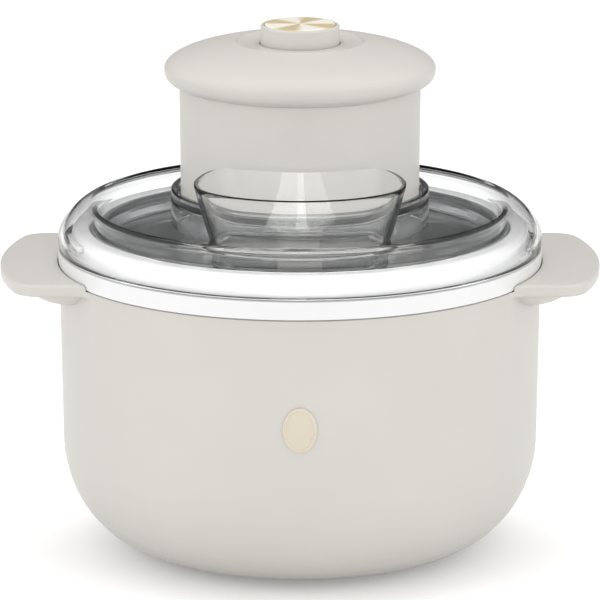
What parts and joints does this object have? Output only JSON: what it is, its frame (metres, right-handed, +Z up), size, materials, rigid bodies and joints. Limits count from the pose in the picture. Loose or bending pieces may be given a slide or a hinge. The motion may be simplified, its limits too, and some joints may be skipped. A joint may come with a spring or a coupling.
{
  "type": "ice cream maker",
  "caption": "Pot-shaped housing with two ear handles, lift-out freezer bowl, clear bayonet lid with chute cup, and a motor unit on top that turns the paddle.",
  "frame": {"origin": "on the surface the feet stand on, under the bowl's axis, which is the middle of the bounding box", "axes": "+Z up along the bowl's axis, front (badge and chute) towards -Y, the two ears along +X and -X"},
  "size_m": [0.2544, 0.2052, 0.2236],
  "materials": {
    "body_plastic": "satin beige moulded plastic",
    "rim_plastic": "glossy white moulded plastic",
    "clear_plastic": "clear moulded plastic, slightly smoked",
    "gold_trim": "pale gold, radially spun",
    "bowl_aluminium": "spun aluminium sheet",
    "gel": "frozen coolant gel",
    "rubber": "black rubber",
    "silicone": "translucent grey silicone",
    "paddle_plastic": "off-white food-safe plastic",
    "nylon": "natural nylon",
    "black_plastic": "black moulded plastic",
    "steel": "plain steel",
    "brass": "machined brass"
  },
  "bodies": {
    "housing": {"outer_housing": "body_plastic", "foot_front_left": "rubber", "foot_front_right": "rubber", "foot_rear_right": "rubber", "foot_rear_left": "rubber", "front_badge": "gold_trim"},
    "freezer_bowl": {"bowl_rim_ring": "rim_plastic", "bowl_outer_wall": "rim_plastic", "bowl_inner_wall": "bowl_aluminium", "neck_liner": "bowl_aluminium", "coolant_fill": "gel", "coolant_plug": "rubber", "bowl_gasket": "silicone"},
    "paddle": {"mixing_paddle": "paddle_plastic"},
    "lid_seal": {"lid_seal_ring": "rubber"},
    "lid": {"lid_cover": "clear_plastic"},
    "cup": {"chute_cup": "clear_plastic"},
    "motor_unit": {"motor_housing": "body_plastic", "motor_cap": "body_plastic", "gearbox_base": "body_plastic", "gearbox_plate": "steel", "output_bush": "brass", "shaft_seal": "rubber", "idler_pin": "steel", "gearbox_screw_1": "steel", "gearbox_screw_2": "steel", "gearbox_screw_3": "steel", "motor_can": "steel", "motor_end_cap": "black_plastic", "magnet_left": "black_plastic", "magnet_right": "black_plastic", "cord_gland": "black_plastic", "terminal_block": "nylon", "switch_carrier": "nylon", "carrier_screw_left": "steel", "carrier_screw_right": "steel", "switch_body": "black_plastic", "switch_lead": "black_plastic", "motor_lead": "rubber"},
    "button": {"power_button": "body_plastic", "button_disc": "gold_trim", "switch_plunger": "nylon", "button_spring": "steel"},
    "drive": {"output_gear": "nylon", "drive_shaft": "steel", "shaft_clip": "steel"},
    "idler": {"idler_gear": "nylon"},
    "rotor": {"motor_pinion": "brass", "rotor_shaft": "steel", "armature": "steel", "commutator": "brass"}
  },
  "joints": [
    {"name": "bowl_lift", "type": "slide", "parent": "housing", "child": "freezer_bowl", "axis": [0, 0, 1], "range_m": [0, 0.15]},
    {"name": "paddle_spin", "type": "hinge", "parent": "freezer_bowl", "child": "paddle", "pos_m": [0, 0, 0], "axis": [0, 0, 1], "continuous": true},
    {"name": "lid_lift", "type": "slide", "parent": "freezer_bowl", "child": "lid_seal", "axis": [0, 0, 1], "range_m": [0, 0.12]},
    {"name": "lid_turn", "type": "hinge", "parent": "lid_seal", "child": "lid", "pos_m": [0, 0, 0], "axis": [0, 0, 1], "range_deg": [0, 18]},
    {"name": "cup_lift", "type": "slide", "parent": "lid", "child": "cup", "axis": [0, 0, 1], "range_m": [0, 0.024]},
    {"name": "motor_lift", "type": "slide", "parent": "lid", "child": "motor_unit", "axis": [0, 0, 1], "range_m": [0, 0.06]},
    {"name": "button_press", "type": "slide", "parent": "motor_unit", "child": "button", "axis": [0, 0, 1], "range_m": [-0.003, 0], "stiffness_N_per_m": 400, "springref_m": 0.004, "deforming": ["button_spring"]},
    {"name": "drive_spin", "type": "hinge", "parent": "motor_unit", "child": "drive", "pos_m": [0, 0, 0], "axis": [0, 0, 1], "continuous": true},
    {"name": "idler_spin", "type": "hinge", "parent": "motor_unit", "child": "idler", "pos_m": [0.0241, 0.01425, 0], "axis": [0, 0, 1], "continuous": true},
    {"name": "rotor_spin", "type": "hinge", "parent": "motor_unit", "child": "rotor", "pos_m": [0, 0.024, 0], "axis": [0, 0, 1], "continuous": true}
  ],
  "couplings": [
    {"joint": "drive_spin", "follows": "paddle_spin", "ratio": 1},
    {"joint": "idler_spin", "follows": "paddle_spin", "ratio": -3},
    {"joint": "rotor_spin", "follows": "paddle_spin", "ratio": 10}
  ]
}
